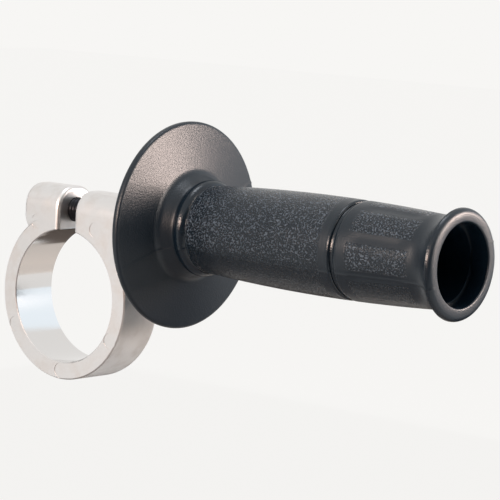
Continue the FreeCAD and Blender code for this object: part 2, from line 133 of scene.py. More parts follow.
@dataclass(frozen=True)
class CastAluminium:
    """Die-cast aluminium, tumbled after casting, with a machined bore."""

    colour: str = "#E0DEDD"
    stain_colour: str = "#BDB4AC"
    stain_share: float = 0.4
    stain_range: Span = (0.45, 0.8)
    blotch_mm: float = 5.0
    blotch_range: Span = (0.3, 0.7)
    skin_roughness: Span = (0.31, 0.42)
    skin_grain_mm: float = 0.35
    skin_height_mm: float = 0.012
    skin_strength: float = 0.6
    bore_roughness: float = 0.1
    bore_radius_mm: float = 21.5
    bore_edge_mm: Span = (0.05, 0.12)

    def material(self) -> Material:
        """Builds the finish.

        Returns:
            The material for the clamp ring.
        """
        # It gives the eye a pale, slightly warm metal with a soft sheen, and a bore like a dull mirror.
        # The skin's grain is drawn coarser than the real one, which is too fine to show.
        material, tree, output = new_material("die_cast_aluminium")
        place = add_node(tree, "ShaderNodeTexCoord").outputs["Object"]
        # The bore is machined after casting, so it is smoother than the skin.
        parts = add_node(tree, "ShaderNodeSeparateXYZ", inputs={"Vector": place}).outputs
        across = add_node(tree, "ShaderNodeCombineXYZ", inputs={"X": parts["X"], "Z": parts["Z"]})
        reach = add_node(
            tree, "ShaderNodeVectorMath", {"operation": "LENGTH"}, {0: across.outputs["Vector"]}
        ).outputs["Value"]
        in_bore = add_node(
            tree,
            "ShaderNodeMapRange",
            inputs={
                "Value": reach,
                "From Min": (self.bore_radius_mm + self.bore_edge_mm[0]) * MM,
                "From Max": (self.bore_radius_mm + self.bore_edge_mm[1]) * MM,
                "To Min": 1.0,
                "To Max": 0.0,
            },
        ).outputs["Result"]
        blotches, grain = (
            add_node(
                tree,
                "ShaderNodeTexNoise",
                inputs={"Vector": place, "Scale": 1 / (size * MM), "Detail": detail},
            ).outputs["Fac"]
            for size, detail in ((self.blotch_mm, 3.0), (self.skin_grain_mm, 2.0))
        )
        skin_roughness = add_node(
            tree,
            "ShaderNodeMapRange",
            inputs={
                "Value": blotches,
                "From Min": self.blotch_range[0],
                "From Max": self.blotch_range[1],
                "To Min": self.skin_roughness[0],
                "To Max": self.skin_roughness[1],
            },
        ).outputs["Result"]
        roughness = add_node(
            tree,
            "ShaderNodeMix",
            {"data_type": "FLOAT"},
            {"Factor": in_bore, 2: skin_roughness, 3: self.bore_roughness},
        ).outputs[0]
        bump = add_node(
            tree,
            "ShaderNodeBump",
            inputs={"Height": grain, "Distance": self.skin_height_mm * MM, "Strength": self.skin_strength},
        ).outputs["Normal"]
        # Die release left faint brownish stains on the skin, but not in the bore, which was cut later.
        most = add_node(
            tree, "ShaderNodeMapRange", inputs={"Value": in_bore, "To Min": self.stain_share, "To Max": 0.0}
        ).outputs["Result"]
        stains = add_node(
            tree,
            "ShaderNodeMapRange",
            inputs={
                "Value": blotches,
                "From Min": self.stain_range[0],
                "From Max": self.stain_range[1],
                "To Max": most,
            },
        ).outputs["Result"]
        colour = add_node(
            tree,
            "ShaderNodeMix",
            {"data_type": "RGBA"},
            {"Factor": stains, 6: linear(self.colour), 7: linear(self.stain_colour)},
        ).outputs[2]
        metal = add_node(
            tree,
            "ShaderNodeBsdfPrincipled",
            inputs={"Base Color": colour, "Metallic": 1.0, "Roughness": roughness, "Normal": bump},
        )
        tree.links.new(metal.outputs["BSDF"], output.inputs["Surface"])
        return material


@dataclass(frozen=True)
class MouldedNylon:
    """Black glass-filled nylon, injection moulded in a mould that is grained where the hand grips."""

    colour: str = "#0B1721"
    # The peaks' colour is partly rubbed wear and partly a painted glint.
    peak_wear_and_glint_colour: str = "#4D5965"
    refraction: float = 1.45
    smooth_roughness: float = 0.35
    grained_roughness: float = 0.24
    polished_roughness: float = 0.12
    fine_grain_mm: float = 0.5
    fine_range: Span = (0.46, 0.63)
    fine_height_mm: float = 0.4
    skin_grain_mm: float = 0.5
    skin_height_mm: float = 0.08
    skin_strength: float = 0.7
    axis_height_mm: float = 27.4
    # The painted glints on the tips fade below the axis as painted shade, where less light falls.
    glint_fade_below_axis_mm: Span = (7.0, 0.5)
    glint_share_by_height: Span = (0.15, 1.0)

    def material(self) -> Material:
        """Builds the finish.

        Returns:
            The material for the grip.
        """
        # It gives the eye a blue-black satin, pads full of pale specks, and thin bright lines along the
        # polished edges. The mould's grain and the skin are drawn coarser than the real ones, which are too
        # fine to show. The refraction is matched to the photograph, a little under nylon's own 1.53.
        material, tree, output = new_material("moulded_black_nylon")
        place = add_node(tree, "ShaderNodeTexCoord").outputs["Object"]
        grained, polish = (
            add_node(tree, "ShaderNodeAttribute", {"attribute_name": name}).outputs["Fac"]
            for name in ("grain", "polish")
        )
        satin = add_node(
            tree,
            "ShaderNodeMapRange",
            inputs={"Value": grained, "To Min": self.smooth_roughness, "To Max": self.grained_roughness},
        ).outputs["Result"]
        # The core pin that makes the hollow is polished so that the moulding slips off it, and hands have
        # polished the bead and the lips.
        roughness = add_node(
            tree,
            "ShaderNodeMapRange",
            inputs={"Value": polish, "To Min": satin, "To Max": self.polished_roughness},
        ).outputs["Result"]
        cells, skin = (
            add_node(
                tree,
                "ShaderNodeTexNoise",
                inputs={"Vector": place, "Scale": 1 / (size * MM), "Detail": detail},
            ).outputs["Fac"]
            for size, detail in ((self.fine_grain_mm, 1.0), (self.skin_grain_mm, 2.0))
        )
        fine = add_node(
            tree,
            "ShaderNodeMapRange",
            {"interpolation_type": "SMOOTHSTEP"},
            {"Value": cells, "From Min": self.fine_range[0], "From Max": self.fine_range[1]},
        ).outputs["Result"]
        fine_height = add_node(
            tree, "ShaderNodeMath", {"operation": "MULTIPLY"}, {0: fine, 1: grained}
        ).outputs["Value"]
        skin_bump = add_node(
            tree,
            "ShaderNodeBump",
            inputs={"Height": skin, "Distance": self.skin_height_mm * MM, "Strength": self.skin_strength},
        ).outputs["Normal"]
        bump = add_node(
            tree,
            "ShaderNodeBump",
            inputs={
                "Height": fine_height,
                "Distance": self.fine_height_mm * MM,
                "Strength": 1.0,
                "Normal": skin_bump,
            },
        ).outputs["Normal"]
        # The tips of the grain are painted paler, partly as rubbed wear and partly as painted glints.
        # Low on the barrel the paleness fades, which is painted shade where less light falls. That the
        # palm rubs them less low on the barrel is guessed from the photograph, where the specks fade
        # there.
        height = add_node(tree, "ShaderNodeSeparateXYZ", inputs={"Vector": place}).outputs["Z"]
        lit_share = add_node(
            tree,
            "ShaderNodeMapRange",
            {"interpolation_type": "SMOOTHSTEP"},
            {
                "Value": height,
                "From Min": (self.axis_height_mm - self.glint_fade_below_axis_mm[0]) * MM,
                "From Max": (self.axis_height_mm - self.glint_fade_below_axis_mm[1]) * MM,
                "To Min": self.glint_share_by_height[0],
                "To Max": self.glint_share_by_height[1],
            },
        ).outputs["Result"]
        tips = add_node(
            tree, "ShaderNodeMath", {"operation": "MULTIPLY"}, {0: fine_height, 1: lit_share}
        ).outputs["Value"]
        colour = add_node(
            tree,
            "ShaderNodeMix",
            {"data_type": "RGBA"},
            {"Factor": tips, 6: linear(self.colour), 7: linear(self.peak_wear_and_glint_colour)},
        ).outputs[2]
        nylon = add_node(
            tree,
            "ShaderNodeBsdfPrincipled",
            inputs={"Base Color": colour, "Roughness": roughness, "IOR": self.refraction, "Normal": bump},
        )
        tree.links.new(nylon.outputs["BSDF"], output.inputs["Surface"])
        return material


@dataclass(frozen=True)
class PlatedSteel:
    """Steel with a thin finish: black oxide on the bolt, bright zinc on the washer."""

    name: str
    colour: str
    roughness: float
    roughness_spread: float = 0.06
    cloud_mm: float = 2.5
    cloud_range: Span = (0.3, 0.7)

    def material(self) -> Material:
        """Builds the finish.

        Returns:
            The material for the bolt or the washer.
        """
        # It gives the eye a dark or a bright metal, with soft clouds in its sheen where the bath left them.
        material, tree, output = new_material(self.name)
        place = add_node(tree, "ShaderNodeTexCoord").outputs["Object"]
        clouds = add_node(
            tree,
            "ShaderNodeTexNoise",
            inputs={"Vector": place, "Scale": 1 / (self.cloud_mm * MM), "Detail": 3.0},
        ).outputs["Fac"]
        roughness = add_node(
            tree,
            "ShaderNodeMapRange",
            inputs={
                "Value": clouds,
                "From Min": self.cloud_range[0],
                "From Max": self.cloud_range[1],
                "To Min": self.roughness - self.roughness_spread,
                "To Max": self.roughness + self.roughness_spread,
            },
        ).outputs["Result"]
        steel = add_node(
            tree,
            "ShaderNodeBsdfPrincipled",
            inputs={"Base Color": linear(self.colour), "Metallic": 1.0, "Roughness": roughness},
        )
        tree.links.new(steel.outputs["BSDF"], output.inputs["Surface"])
        return material


class Profile:
    """A turned outline, drawn as points of place along the axis and radius, in millimetres."""

    def __init__(self, start: Point) -> None:
        """Starts the outline at a point."""
        self.points: list[Point] = [start]

    def line(self, end: Point, step: float = 5.0) -> None:
        """Adds a straight stretch.

        Args:
            end: Where the stretch ends.
            step: Longest distance between its points.
        """
        start = self.points[-1]
        count = max(1, math.ceil(math.dist(start, end) / step))
        for index in range(1, count + 1):
            share = index / count
            place, radius = (low + (high - low) * share for low, high in zip(start, end))
            self.points.append((place, radius))

    def arc(self, end: Point, radius: float, side: Bulge, count: int) -> None:
        """Adds a round stretch.

        Args:
            end: Where the stretch ends.
            radius: Its radius.
            side: The side to which it bulges.
            count: Number of straight pieces that stand for it.
        """
        start = Vector(self.points[-1])
        finish = Vector(end)
        chord = finish - start
        left = Vector((-chord.y, chord.x)).normalized()
        rise = math.sqrt(max(radius**2 - (chord.length / 2) ** 2, 0.0))
        centre = (start + finish) / 2 - left * rise * side.value
        first = start - centre
        sweep = 2 * math.asin(min(chord.length / 2 / radius, 1.0)) * -side.value
        for index in range(1, count + 1):
            turned = Matrix.Rotation(sweep * index / count, 2) @ first
            self.points.append((centre.x + turned.x, centre.y + turned.y))

    def follow(self, end: float, step: float, radius_at: Callable[[float], float]) -> None:
        """Adds a stretch whose radius follows a rule.

        Args:
            end: Place along the axis where the stretch ends.
            step: Longest distance between its points.
            radius_at: The radius at a place.
        """
        start = self.points[-1][0]
        count = max(1, math.ceil(abs(end - start) / step))
        for index in range(1, count + 1):
            place = start + (end - start) * index / count
            self.points.append((place, radius_at(place)))


def smooth_step(value: float, low: float, high: float) -> float:
    """Rises smoothly from 0 at low to 1 at high."""
    share = min(max((value - low) / (high - low), 0.0), 1.0)
    return share * share * (3 - 2 * share)


def hexagon_reach(turn: float, across_flats: float) -> float:
    """Distance from a hexagon's middle to its side at an angle, with a flat at angle zero."""
    return across_flats / 2 / math.cos((turn + math.pi / 6) % (math.pi / 3) - math.pi / 6)


def outward_at(points: list[Point], index: int) -> Vector:
    """The way straight out of an outline at one of its points.

    Args:
        points: The outline's points.
        index: The point's number.

    Returns:
        A unit vector along the axis and the radius.
    """
    before = Vector(points[max(index - 1, 0)])
    after = Vector(points[min(index + 1, len(points) - 1)])
    along = (after - before).normalized()
    return Vector((-along.y, along.x))


def axis_point(origin: Place, along: float, reach: float, turn: float) -> Vector:
    """A point round an axis that runs along X.

    Args:
        origin: Where the axis starts, in metres.
        along: Distance along the axis, in millimetres.
        reach: Distance from the axis, in millimetres.
        turn: Angle round the axis, in radians.

    Returns:
        The point, in metres.
    """
    x, y, z = origin
    return Vector((x + along * MM, y + reach * math.cos(turn) * MM, z + reach * math.sin(turn) * MM))


def ring_mesh(name: str, rings: list[list[Vector]], closed: bool) -> bpy.types.Mesh:
    """Joins rings of points into a mesh.

    Args:
        name: The mesh's name.
        rings: Rings of equally many points, in order along the surface, in metres.
        closed: Whether the last ring joins the first. If not, both ends get a cap.

    Returns:
        The mesh, with its faces outwards.
    """
    around = len(rings[0])
    points = [point for ring in rings for point in ring]
    faces = []
    for index in range(len(rings) if closed else len(rings) - 1):
        here = index * around
        after = (index + 1) % len(rings) * around
        for step in range(around):
            beside = (step + 1) % around
            faces.append((here + step, after + step, after + beside, here + beside))
    if not closed:
        faces.append(tuple(range(around)))
        faces.append(tuple(reversed(range(len(points) - around, len(points)))))
    mesh = bpy.data.meshes.new(name)
    mesh.from_pydata(points, [], faces)
    mesh.validate()
    for polygon in mesh.polygons:
        polygon.use_smooth = True
    mesh.set_sharp_from_angle(angle=SHARP_EDGE)
    return mesh


def add_piece(name: str, mesh: bpy.types.Mesh, material: Material) -> bpy.types.Object:
    """Links a piece at the origin, with its place in its mesh.

    Args:
        name: The piece's plain name.
        mesh: Its mesh.
        material: Its finish.

    Returns:
        The new object.
    """
    piece = bpy.data.objects.new(name, mesh)
    bpy.context.scene.collection.objects.link(piece)
    mesh.materials.clear()
    mesh.materials.append(material)
    return piece


def report(piece: bpy.types.Object) -> None:
    """Logs a piece's name and triangle count.

    Args:
        piece: The piece.
    """
    mesh = piece.data
    mesh.calc_loop_triangles()
    LOG.info("%s: %d triangles", piece.name, len(mesh.loop_triangles))


def bake_nodes(piece: bpy.types.Object, tree: Tree, values: dict[str, float]) -> None:
    """Runs a geometry tree on a piece and keeps the result as its plain mesh.

    Args:
        piece: The piece that the tree changes.
        tree: The geometry tree.
        values: Its inputs by name.
    """
    modifier = piece.modifiers.new(tree.name, "NODES")
    modifier.node_group = tree
    for item in tree.interface.items_tree:
        if item.item_type == "SOCKET" and item.in_out == "INPUT" and item.name in values:
            modifier[item.identifier] = values[item.name]
    depsgraph = bpy.context.evaluated_depsgraph_get()
    result = bpy.data.meshes.new_from_object(piece.evaluated_get(depsgraph), depsgraph=depsgraph)
    piece.modifiers.clear()
    old = piece.data
    piece.data = result
    result.name = piece.name
    bpy.data.meshes.remove(old)


def new_geometry_tree(name: str, inputs: tuple[str, ...]) -> tuple[Tree, Node]:
    """Makes a geometry tree with named inputs.

    Args:
        name: The tree's name.
        inputs: The name of each input after the geometry. All of them are numbers.

    Returns:
        The tree and its input node.
    """
    tree = bpy.data.node_groups.new(name, "GeometryNodeTree")
    tree.interface.new_socket("Geometry", in_out="INPUT", socket_type="NodeSocketGeometry")
    for label in inputs:
        tree.interface.new_socket(label, in_out="INPUT", socket_type="NodeSocketFloat")
    tree.interface.new_socket("Geometry", in_out="OUTPUT", socket_type="NodeSocketGeometry")
    return tree, add_node(tree, "NodeGroupInput")


def finish_geometry_tree(tree: Tree, geometry: Socket, material: Material) -> None:
    """Ends a geometry tree in plain meshes with their material.

    Args:
        tree: The geometry tree.
        geometry: What the tree has made.
        material: The finish that it gets.
    """
    plain = add_node(tree, "GeometryNodeRealizeInstances", inputs={"Geometry": geometry})
    inputs = {"Geometry": plain.outputs["Geometry"], "Material": material}
    dressed = add_node(tree, "GeometryNodeSetMaterial", inputs=inputs)
    add_node(tree, "NodeGroupOutput", inputs={"Geometry": dressed.outputs["Geometry"]})


@dataclass
class ClampRing:
    """The split casting and the washer, which keep their solids and get their finishes."""

    cast: CastAluminium = CastAluminium()
    zinc: PlatedSteel = PlatedSteel("zinc_plated_steel", "#C9CACB", 0.3)

    def dress(self) -> list[bpy.types.Object]:
        """Gives the ring and the washer their finishes.

        Returns:
            The ring and the washer.
        """
        pieces = []
        for node, finish in (("clamp_ring", self.cast), ("thrust_washer", self.zinc)):
            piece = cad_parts[node]
            piece.data.materials.clear()
            piece.data.materials.append(finish.material())
            pieces.append(piece)
        return pieces


@dataclass
class Grip:
    """The moulded grip. Places count along its axis from the hub's back face.

    Sizes are in millimetres and angles in degrees.
    """

    finish: MouldedNylon = MouldedNylon()
    around: int = 288
    ring_step: float = 0.42
    slack: float = 0.2
    bolt_hole: float = 4.1
    bolt_hole_bevel: float = 0.3
    hub_back: float = 10.5
    hub_edge: float = 0.5
    hub_end: Point = (17.1, 12.2)
    hub_fillet: float = 1.1
    guard_back: float = 17.0
    guard_front: float = 19.5
    guard_radius: float = 32.55
    rim_round: float = 1.0
    face_root: Point = (21.35, 18.4)
    face_curve: float = 3.6
    cone_start: Point = (22.53, 16.2)
    cone_end: Point = (25.2, 14.2)
    bead_corner: float = 0.7
    bead_start: Point = (26.3, 14.6)
    bead_round: float = 2.5
    root_radius: float = 13.6
    neck_radius: float = 13.95
    barrel_curve: float = 650.0
    barrel_start: float = 30.1
    neck: float = 115.9
    bell_crown: Point = (123.6, 16.6)
    bell_flare: float = 10.0
    bell_lip: float = 1.9
    length: float = 125.5
    lip_radius: float = 14.9
    mouth_radius: float = 12.55
    mouth_round: float = 0.5
    mouth_floor: float = 119.2
    step_radius: float = 11.95
    hollow_floor: float = 28.4
    floor_radius: float = 9.0
    socket_floor: float = 20.4
    across_flats: float = 13.0
    groove: float = 88.4
    groove_width: float = 1.5
    groove_depth: float = 1.0
    groove_dish: float = 0.1
    near_lip: float = 0.8
    far_lip: float = 0.6
    channel_start: float = 92.8
    channel_end: float = 115.4
    channel_depth: float = 0.34
    channel_reach: float = 3.4
    channel_fade: float = 5.0
    channel_run_out: float = 0.4
    first_channel: float = 22.5
    channel_pitch: float = 45.0
    parting_turn: float = 22.5
    parting_height: float = 0.14
    parting_half_width: float = 0.45
    sleeve_start: float = 29.9
    sleeve_end: float = 84.0
    sleeve_fade: float = 1.5
    pad_start: float = 93.2
    pad_start_fade: float = 0.8
    pad_end: float = 115.6
    pad_half_width: float = 16.0
    pad_fade: float = 1.2
    grain_mm: float = 1.3
    grain_height_mm: float = 0.05
    grain_level: float = 0.62
    grain_seed: float = 4.0
    rim_polish: float = 0.6
    groove_polish: float = 2.0
    crown_polish: Span = (-1.0, 0.7)
    crown_depth: float = 1.0

    def barrel_radius(self, place: float) -> float:
        """The barrel's radius at a place: a long curve between its two ends.

        Args:
            place: Place along the axis.

        Returns:
            The radius, in millimetres.
        """
        share = (place - self.barrel_start) / (self.neck - self.barrel_start)
        chord = self.root_radius + (self.neck_radius - self.root_radius) * share
        return chord + (place - self.barrel_start) * (self.neck - place) / (2 * self.barrel_curve)

    def outline(self) -> list[Point]:
        """The whole turned outline, from the hub over the guard and barrel and back through the hollow.

        Returns:
            Points of place and radius.
        """
        edge = self.guard_radius - self.rim_round
        low_groove = self.groove - self.groove_width / 2
        high_groove = self.groove + self.groove_width / 2
        floor = self.barrel_radius(self.groove) - self.groove_depth
        slope = self.groove_width / 4
        far = high_groove + self.far_lip
        profile = Profile((self.bolt_hole_bevel, self.bolt_hole))
        profile.line((0.0, self.bolt_hole + self.bolt_hole_bevel))
        profile.line((0.0, self.hub_back - self.hub_edge), step=2.0)
        profile.arc((self.hub_edge, self.hub_back), self.hub_edge, Bulge.LEFT, count=3)
        profile.line(self.hub_end, step=4.0)
        guard_root = (self.hub_end[0] + self.hub_fillet, self.hub_end[1] + self.hub_fillet)
        profile.arc(guard_root, self.hub_fillet, Bulge.RIGHT, count=4)
        profile.line((self.guard_back, edge), step=3.0)
        rim_start = (self.guard_back + self.rim_round, self.guard_radius)
        profile.arc(rim_start, self.rim_round, Bulge.LEFT, count=5)
        profile.line((self.guard_front - self.rim_round, self.guard_radius))
        profile.arc((self.guard_front, edge), self.rim_round, Bulge.LEFT, count=5)
        profile.line(self.face_root, step=1.5)
        profile.arc(self.cone_start, self.face_curve, Bulge.RIGHT, count=10)
        profile.line(self.cone_end, step=0.8)
        profile.arc(self.bead_start, self.bead_corner, Bulge.RIGHT, count=4)
        profile.arc((self.barrel_start, self.root_radius), self.bead_round, Bulge.LEFT, count=16)
        profile.follow(low_groove - self.near_lip, self.ring_step, self.barrel_radius)
        near_end = (low_groove, self.barrel_radius(low_groove) - self.near_lip)
        profile.arc(near_end, self.near_lip, Bulge.LEFT, count=6)
        profile.line((low_groove + slope, floor + self.groove_dish))
        profile.line((self.groove, floor))
        profile.line((high_groove - slope, floor + self.groove_dish))
        profile.line((high_groove, self.barrel_radius(high_groove) - self.far_lip))
        profile.arc((far, self.barrel_radius(far)), self.far_lip, Bulge.LEFT, count=5)
        profile.follow(self.neck, self.ring_step, self.barrel_radius)
        profile.arc(self.bell_crown, self.bell_flare, Bulge.RIGHT, count=12)
        profile.arc((self.length, self.lip_radius), self.bell_lip, Bulge.LEFT, count=9)
        profile.line((self.length, self.mouth_radius + self.mouth_round), step=1.0)
        mouth = (self.length - self.mouth_round, self.mouth_radius)
        profile.arc(mouth, self.mouth_round, Bulge.LEFT, count=5)
        profile.line((self.mouth_floor, self.mouth_radius), step=3.0)
        profile.line((self.mouth_floor, self.step_radius))
        profile.line((self.hollow_floor, self.floor_radius), step=8.0)
        return profile.points

    def on_barrel(self, place: float, radius: float) -> bool:
        """Whether a point of the outline lies on the barrel's outside."""
        close = abs(radius - self.barrel_radius(place)) < self.slack
        return close and self.barrel_start <= place <= self.neck

    def channel_cut(self, place: float, turn: float) -> float:
        """How deep the channels between the pads, which are soft valleys, cut into the barrel.

        Args:
            place: Place along the axis.
            turn: Angle round the axis, in degrees.

        Returns:
            The depth, in millimetres.
        """
        pitch = self.channel_pitch
        off = (turn - self.first_channel + pitch / 2) % pitch - pitch / 2
        sideways = abs(math.radians(off)) * self.barrel_radius(place)
        start, end = self.channel_start, self.channel_end
        ends = smooth_step(place, start - self.channel_run_out, start + self.channel_fade)
        ends *= 1 - smooth_step(place, end - self.channel_fade, end + self.channel_run_out)
        return self.channel_depth * (1 - smooth_step(sideways, 0.0, self.channel_reach)) * ends

    def grain_at(self, place: float, turn: float) -> float:
        """How grained the mould is on the sleeve and on the pads.

        Args:
            place: Place along the axis.
            turn: Angle round the axis, in degrees.

        Returns:
            0 where it is smooth and 1 where it is fully grained.
        """
        sleeve = smooth_step(place, self.sleeve_start, self.sleeve_start + self.sleeve_fade)
        sleeve *= 1 - smooth_step(place, self.sleeve_end - self.sleeve_fade, self.sleeve_end)
        off = abs((turn - self.first_channel) % self.channel_pitch - self.channel_pitch / 2)
        pad = smooth_step(place, self.pad_start, self.pad_start + self.pad_start_fade)
        pad *= 1 - smooth_step(place, self.pad_end - self.pad_fade, self.pad_end)
        pad *= 1 - smooth_step(off, self.pad_half_width - self.pad_fade, self.pad_half_width)
        return max(sleeve, pad)

    def polish_at(self, place: float, radius: float) -> float:
        """How far hands have polished the outside: the bead, the groove's lips and the bell's crown.

        Args:
            place: Place along the axis.
            radius: The outline's radius there.

        Returns:
            0 where it is as moulded and 1 where it is fully polished.
        """
        bead = self.bead_start[0] - self.slack
        on_bead = bead <= place <= self.barrel_start and radius >= self.root_radius
        by_groove = abs(place - self.groove) <= self.groove_polish
        low, high = self.crown_polish
        outer = radius >= self.mouth_radius + self.crown_depth
        on_crown = low <= place - self.bell_crown[0] <= high and outer
        return self.rim_polish if on_bead or by_groove or on_crown else 0.0

    def ridge_at(self, place: float, radius: float, turn: float) -> float:
        """Height of the parting line, which the mould's halves leave in front of the guard's rim.

        Args:
            place: Place along the axis.
            radius: The outline's radius there.
            turn: Angle round the axis, in degrees.

        Returns:
            The height, in millimetres.
        """
        if place <= self.guard_front - self.rim_round or radius >= self.guard_radius:
            return 0.0
        off = math.radians(abs((turn - self.parting_turn + 90) % 180 - 90))
        return self.parting_height * max(0.0, 1 - off * radius / self.parting_half_width)

    def build(self) -> bpy.types.Object:
        """Builds the grip with its grain and parting line.

        Returns:
            The grip.
        """
        low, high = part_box("grip_body")
        middle = (low + high) / 2
        origin = (low.x, middle.y, middle.z)
        outline = self.outline()
        # The outline turns inwards at its crest, and the polished core starts at the mouth's wall.
        crest = max(range(len(outline)), key=lambda index: outline[index][0])
        wall = self.mouth_radius + HAIR
        inside = min(index for index in range(crest, len(outline)) if outline[index][1] < wall)
        turns = [360 * step / self.around for step in range(self.around)]
        rings = []
        grain = []
        polish = []
        for index, (place, radius) in enumerate(outline):
            outward = outward_at(outline, index)
            outside = 0 < index < crest
            grained = outside and self.on_barrel(place, radius)
            ring = []
            for turn in turns:
                cut = self.channel_cut(place, turn) if grained else 0.0
                ridge = self.ridge_at(place, radius, turn) if outside else 0.0
                along = place + outward.x * ridge
                reach = radius - cut + outward.y * ridge
                ring.append(axis_point(origin, along, reach, math.radians(turn)))
                grain.append(self.grain_at(place, turn) if grained else 0.0)
            rings.append(ring)
            polish += [1.0 if index >= inside else self.polish_at(place, radius)] * self.around
        corners = [hexagon_reach(math.radians(turn), self.across_flats) for turn in turns]
        for place, reaches in (
            (self.hollow_floor, corners),
            (self.socket_floor, corners),
            (self.socket_floor, [self.bolt_hole] * self.around),
        ):
            ends = zip(turns, reaches)
            rings.append([axis_point(origin, place, reach, math.radians(turn)) for turn, reach in ends])
            grain += [0.0] * self.around
            polish += [1.0] * self.around
        mesh = ring_mesh("grip", rings, closed=True)
        for name, values in (("grain", grain), ("polish", polish)):
            mesh.attributes.new(name, "FLOAT", "POINT").data.foreach_set("value", values)
        material = self.finish.material()
        piece = add_piece("grip", mesh, material)
        sizes = {
            "Grain size": self.grain_mm * MM,
            "Grain height": self.grain_height_mm * MM,
            "Seed": self.grain_seed,
        }
        bake_nodes(piece, self.grain_tree(material, tuple(sizes)), sizes)
        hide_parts("grip_body")
        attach(piece, Body.GRIP.value)
        return piece

    def grain_tree(self, material: Material, names: tuple[str, ...]) -> Tree:
        """The tree that raises the mould's pebbled grain where the grain attribute says so.

        Args:
            material: The grip's finish.
            names: The names of its inputs.

        Returns:
            The geometry tree.
        """
        tree, start = new_geometry_tree("mould_grain", names)
        mask = add_node(tree, "GeometryNodeInputNamedAttribute", {"data_type": "FLOAT"}, {"Name": "grain"})
        fineness = add_node(
            tree, "ShaderNodeMath", {"operation": "DIVIDE"}, {0: 1.0, 1: start.outputs["Grain size"]}
        ).outputs["Value"]
        pebbles = add_node(
            tree,
            "ShaderNodeTexNoise",
            {"noise_dimensions": "4D"},
            {"W": start.outputs["Seed"], "Scale": fineness, "Detail": 1.0},
        ).outputs["Fac"]
        centred = add_node(
            tree, "ShaderNodeMath", {"operation": "SUBTRACT"}, {0: pebbles, 1: self.grain_level}
        ).outputs["Value"]
        masked = add_node(
            tree, "ShaderNodeMath", {"operation": "MULTIPLY"}, {0: centred, 1: mask.outputs["Attribute"]}
        ).outputs["Value"]
        height = add_node(
            tree, "ShaderNodeMath", {"operation": "MULTIPLY"}, {0: masked, 1: start.outputs["Grain height"]}
        ).outputs["Value"]
        normal = add_node(tree, "GeometryNodeInputNormal").outputs["Normal"]
        offset = add_node(
            tree, "ShaderNodeVectorMath", {"operation": "SCALE"}, {0: normal, "Scale": height}
        ).outputs["Vector"]
        raised = add_node(
            tree, "GeometryNodeSetPosition", inputs={"Geometry": start.outputs["Geometry"], "Offset": offset}
        )
        finish_geometry_tree(tree, raised.outputs["Geometry"], material)
        return tree


